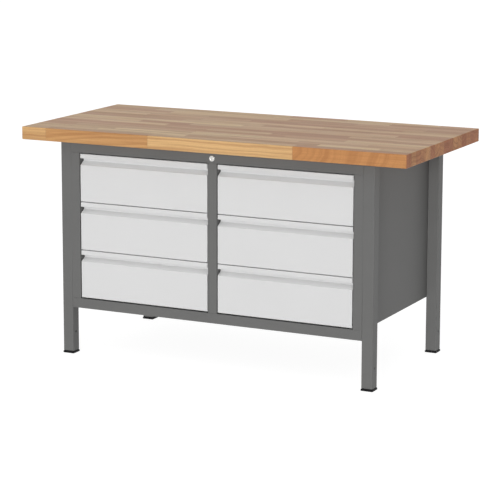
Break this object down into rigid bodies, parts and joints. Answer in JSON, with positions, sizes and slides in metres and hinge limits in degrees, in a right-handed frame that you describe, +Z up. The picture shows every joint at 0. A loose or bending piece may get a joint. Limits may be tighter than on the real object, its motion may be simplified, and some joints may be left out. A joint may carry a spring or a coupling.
{
  "type": "workbench with drawers",
  "caption": "Steel workbench with a thick solid beech worktop, square tube legs, two banks of sliding drawers with full-width grip channels, and a central lock in the front rail.",
  "frame": {"origin": "on the floor, under the middle of the worktop", "axes": "+X to the right along the bench as seen from the drawers, +Y towards the rear, +Z up; the drawers open towards -Y"},
  "size_m": [1.5, 0.7, 0.84],
  "materials": {
    "beech": "oiled beech staves, satin",
    "grey_paint": "fine-textured grey powder coat",
    "light_paint": "smooth light grey powder coat",
    "black_plastic": "matt moulded black",
    "zinc": "bright zinc plate",
    "chrome": "nickel plate"
  },
  "bodies": {
    "frame": {"worktop": "beech", "leg_front_left": "grey_paint", "leg_front_right": "grey_paint", "leg_rear_left": "grey_paint", "leg_rear_right": "grey_paint", "foot_cap_front_left": "black_plastic", "foot_cap_front_right": "black_plastic", "foot_cap_rear_left": "black_plastic", "foot_cap_rear_right": "black_plastic", "front_top_rail": "grey_paint", "front_bottom_rail": "grey_paint", "rear_top_rail": "grey_paint", "rear_bottom_rail": "grey_paint", "left_column": "grey_paint", "right_column": "grey_paint", "centre_column": "grey_paint", "side_panel_left": "grey_paint", "side_panel_right": "grey_paint", "back_panel": "grey_paint", "cabinet_floor": "grey_paint", "lock_housing": "chrome", "left_top_cabinet_slide_left": "zinc", "left_top_cabinet_slide_right": "zinc", "left_middle_cabinet_slide_left": "zinc", "left_middle_cabinet_slide_right": "zinc", "left_bottom_cabinet_slide_left": "zinc", "left_bottom_cabinet_slide_right": "zinc", "right_top_cabinet_slide_left": "zinc", "right_top_cabinet_slide_right": "zinc", "right_middle_cabinet_slide_left": "zinc", "right_middle_cabinet_slide_right": "zinc", "right_bottom_cabinet_slide_left": "zinc", "right_bottom_cabinet_slide_right": "zinc"},
    "left_top_drawer": {"left_top_drawer_front": "light_paint", "left_top_drawer_tray": "light_paint"},
    "left_top_middle_slides": {"left_top_middle_slide_left": "zinc", "left_top_middle_slide_right": "zinc"},
    "left_middle_drawer": {"left_middle_drawer_front": "light_paint", "left_middle_drawer_tray": "light_paint"},
    "left_middle_middle_slides": {"left_middle_middle_slide_left": "zinc", "left_middle_middle_slide_right": "zinc"},
    "left_bottom_drawer": {"left_bottom_drawer_front": "light_paint", "left_bottom_drawer_tray": "light_paint"},
    "left_bottom_middle_slides": {"left_bottom_middle_slide_left": "zinc", "left_bottom_middle_slide_right": "zinc"},
    "right_top_drawer": {"right_top_drawer_front": "light_paint", "right_top_drawer_tray": "light_paint"},
    "right_top_middle_slides": {"right_top_middle_slide_left": "zinc", "right_top_middle_slide_right": "zinc"},
    "right_middle_drawer": {"right_middle_drawer_front": "light_paint", "right_middle_drawer_tray": "light_paint"},
    "right_middle_middle_slides": {"right_middle_middle_slide_left": "zinc", "right_middle_middle_slide_right": "zinc"},
    "right_bottom_drawer": {"right_bottom_drawer_front": "light_paint", "right_bottom_drawer_tray": "light_paint"},
    "right_bottom_middle_slides": {"right_bottom_middle_slide_left": "zinc", "right_bottom_middle_slide_right": "zinc"},
    "lock_cylinder": {"lock_cylinder": "chrome", "lock_cam": "zinc"},
    "lock_bar": {"lock_bar": "zinc"}
  },
  "joints": [
    {"name": "left_top_drawer_slide", "type": "slide", "parent": "frame", "child": "left_top_drawer", "axis": [0, -1, 0], "range_m": [0, 0.54]},
    {"name": "left_top_middle_travel", "type": "slide", "parent": "frame", "child": "left_top_middle_slides", "axis": [0, -1, 0], "range_m": [0, 0.27]},
    {"name": "left_middle_drawer_slide", "type": "slide", "parent": "frame", "child": "left_middle_drawer", "axis": [0, -1, 0], "range_m": [0, 0.54]},
    {"name": "left_middle_middle_travel", "type": "slide", "parent": "frame", "child": "left_middle_middle_slides", "axis": [0, -1, 0], "range_m": [0, 0.27]},
    {"name": "left_bottom_drawer_slide", "type": "slide", "parent": "frame", "child": "left_bottom_drawer", "axis": [0, -1, 0], "range_m": [0, 0.54]},
    {"name": "left_bottom_middle_travel", "type": "slide", "parent": "frame", "child": "left_bottom_middle_slides", "axis": [0, -1, 0], "range_m": [0, 0.27]},
    {"name": "right_top_drawer_slide", "type": "slide", "parent": "frame", "child": "right_top_drawer", "axis": [0, -1, 0], "range_m": [0, 0.54]},
    {"name": "right_top_middle_travel", "type": "slide", "parent": "frame", "child": "right_top_middle_slides", "axis": [0, -1, 0], "range_m": [0, 0.27]},
    {"name": "right_middle_drawer_slide", "type": "slide", "parent": "frame", "child": "right_middle_drawer", "axis": [0, -1, 0], "range_m": [0, 0.54]},
    {"name": "right_middle_middle_travel", "type": "slide", "parent": "frame", "child": "right_middle_middle_slides", "axis": [0, -1, 0], "range_m": [0, 0.27]},
    {"name": "right_bottom_drawer_slide", "type": "slide", "parent": "frame", "child": "right_bottom_drawer", "axis": [0, -1, 0], "range_m": [0, 0.54]},
    {"name": "right_bottom_middle_travel", "type": "slide", "parent": "frame", "child": "right_bottom_middle_slides", "axis": [0, -1, 0], "range_m": [0, 0.27]},
    {"name": "lock_bar_lift", "type": "slide", "parent": "frame", "child": "lock_bar", "axis": [0, 0, 1], "range_m": [0, 0.01]},
    {"name": "lock_turn", "type": "hinge", "parent": "frame", "child": "lock_cylinder", "pos_m": [0, -0.29, 0.768], "axis": [0, -1, 0], "range_deg": [0, 90.01]}
  ],
  "couplings": [
    {"joint": "left_top_middle_travel", "follows": "left_top_drawer_slide", "ratio": 0.5},
    {"joint": "left_middle_middle_travel", "follows": "left_middle_drawer_slide", "ratio": 0.5},
    {"joint": "left_bottom_middle_travel", "follows": "left_bottom_drawer_slide", "ratio": 0.5},
    {"joint": "right_top_middle_travel", "follows": "right_top_drawer_slide", "ratio": 0.5},
    {"joint": "right_middle_middle_travel", "follows": "right_middle_drawer_slide", "ratio": 0.5},
    {"joint": "right_bottom_middle_travel", "follows": "right_bottom_drawer_slide", "ratio": 0.5},
    {"joint": "lock_turn", "follows": "lock_bar_lift", "rad_per_m": 157.08}
  ]
}
